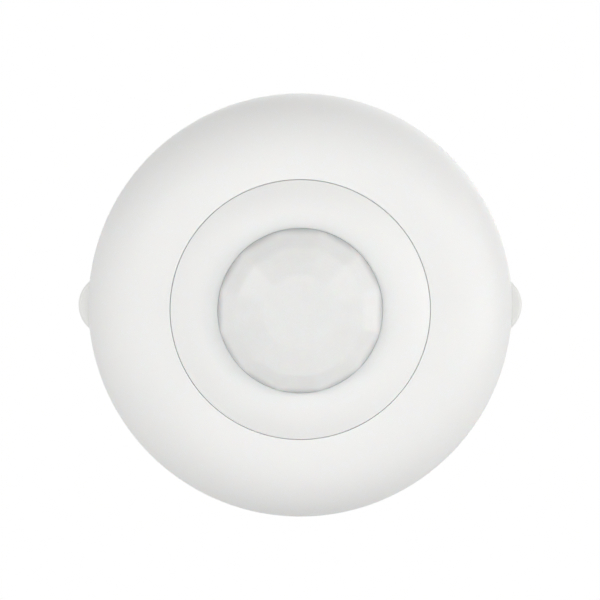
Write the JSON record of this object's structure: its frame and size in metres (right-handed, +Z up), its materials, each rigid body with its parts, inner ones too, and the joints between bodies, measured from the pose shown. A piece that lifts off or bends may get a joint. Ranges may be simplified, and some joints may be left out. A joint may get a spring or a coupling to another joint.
{
  "type": "ceiling occupancy sensor",
  "caption": "Round ceiling-mount passive infrared occupancy sensor with a twist-off lens ring over a faceted dome lens, side release tabs and a slotted mounting plate.",
  "frame": {"origin": "centre of the ceiling face of the mounting plate, midway between its screw slots", "axes": "+Z up into the ceiling, so the sensor hangs below its origin and its lens looks along -Z; the two release tabs lie on +X and -X, the screw slots on the Y axis"},
  "size_m": [0.1206, 0.115, 0.0384],
  "materials": {
    "white_housing": "moulded white ABS, fine satin skin",
    "white_plate": "moulded white ABS, plain satin",
    "lens_plastic": "moulded milky polyethylene, soft sheen",
    "spring_steel": "drawn spring wire",
    "circuit_board": "green solder resist on glass epoxy",
    "plated_steel": "zinc plated steel",
    "black_plastic": "moulded black nylon",
    "infrared_filter": "coated silicon window",
    "red_epoxy": "clear red epoxy",
    "cell_epoxy": "clear epoxy over cadmium track",
    "relay_case": "moulded dark polyester",
    "aluminium_can": "drawn aluminium can",
    "ferrite": "pressed ferrite",
    "chip_epoxy": "moulded black epoxy",
    "resistor_ceramic": "glazed thick film",
    "terminal_plastic": "moulded green nylon",
    "plated_brass": "drawn brass",
    "switch_plastic": "moulded red nylon",
    "button_plastic": "moulded white acetal",
    "blue_plastic": "moulded blue nylon",
    "red_plastic": "moulded red nylon",
    "trimmer_plastic": "moulded blue epoxy case"
  },
  "bodies": {
    "housing": {"board_screws": "plated_steel", "button_case": "black_plastic", "controller_chip": "chip_epoxy", "front_cover": "white_housing", "housing_screws": "plated_steel", "infrared_can": "plated_steel", "infrared_header": "plated_steel", "infrared_spacer": "black_plastic", "infrared_window": "infrared_filter", "left_tab_spring": "spring_steel", "light_cell": "cell_epoxy", "light_level_trimmer": "trimmer_plastic", "main_board": "circuit_board", "mounting_plate": "white_plate", "rear_housing": "white_housing", "relay": "relay_case", "right_tab_spring": "spring_steel", "sensitivity_trimmer": "trimmer_plastic", "small_resistors": "resistor_ceramic", "status_led": "red_epoxy", "supply_capacitor": "aluminium_can", "supply_coil": "ferrite", "switch_case": "switch_plastic", "terminal_block": "terminal_plastic", "terminal_cages": "plated_brass", "terminal_screws": "plated_steel", "time_delay_trimmer": "trimmer_plastic", "voltage_regulator": "chip_epoxy"},
    "lens_cap": {"lens_ring": "white_housing", "faceted_lens": "lens_plastic", "lens_retainer": "white_plate"},
    "right_tab": {"right_release_tab": "white_plate"},
    "left_tab": {"left_release_tab": "white_plate"},
    "button": {"test_button": "button_plastic"},
    "time_delay_dial": {"time_delay_dial": "black_plastic"},
    "light_level_dial": {"light_level_dial": "blue_plastic"},
    "sensitivity_dial": {"sensitivity_dial": "red_plastic"},
    "switch_slider_1": {"switch_slider_1": "button_plastic"},
    "switch_slider_2": {"switch_slider_2": "button_plastic"},
    "switch_slider_3": {"switch_slider_3": "button_plastic"},
    "switch_slider_4": {"switch_slider_4": "button_plastic"}
  },
  "joints": [
    {"name": "lens_cap_twist", "type": "hinge", "parent": "housing", "child": "lens_cap", "pos_m": [0, 0, 0], "axis": [0, 0, -1], "range_deg": [0, 30]},
    {"name": "right_tab_press", "type": "slide", "parent": "housing", "child": "right_tab", "axis": [-1, 0, 0], "range_m": [0, 0.0015], "stiffness_N_per_m": 900, "springref_m": -0.0015, "deforming": ["right_tab_spring"]},
    {"name": "left_tab_press", "type": "slide", "parent": "housing", "child": "left_tab", "axis": [1, 0, 0], "range_m": [0, 0.0015], "stiffness_N_per_m": 900, "springref_m": -0.0015, "deforming": ["left_tab_spring"]},
    {"name": "test_button_press", "type": "slide", "parent": "housing", "child": "button", "axis": [0, 0, 1], "range_m": [0, 0.0003], "stiffness_N_per_m": 3000, "springref_m": -0.0002},
    {"name": "time_delay_dial_turn", "type": "hinge", "parent": "housing", "child": "time_delay_dial", "pos_m": [0.01431, -0.0229, -0.02], "axis": [0, 0, -1], "range_deg": [-135, 135]},
    {"name": "light_level_dial_turn", "type": "hinge", "parent": "housing", "child": "light_level_dial", "pos_m": [0, -0.027, -0.02], "axis": [0, 0, -1], "range_deg": [-135, 135]},
    {"name": "sensitivity_dial_turn", "type": "hinge", "parent": "housing", "child": "sensitivity_dial", "pos_m": [-0.01431, -0.0229, -0.02], "axis": [0, 0, -1], "range_deg": [-135, 135]},
    {"name": "switch_slider_1_slide", "type": "slide", "parent": "housing", "child": "switch_slider_1", "axis": [0, -1, 0], "range_m": [0, 0.0018]},
    {"name": "switch_slider_2_slide", "type": "slide", "parent": "housing", "child": "switch_slider_2", "axis": [0, -1, 0], "range_m": [0, 0.0018]},
    {"name": "switch_slider_3_slide", "type": "slide", "parent": "housing", "child": "switch_slider_3", "axis": [0, -1, 0], "range_m": [0, 0.0018]},
    {"name": "switch_slider_4_slide", "type": "slide", "parent": "housing", "child": "switch_slider_4", "axis": [0, -1, 0], "range_m": [0, 0.0018]}
  ]
}
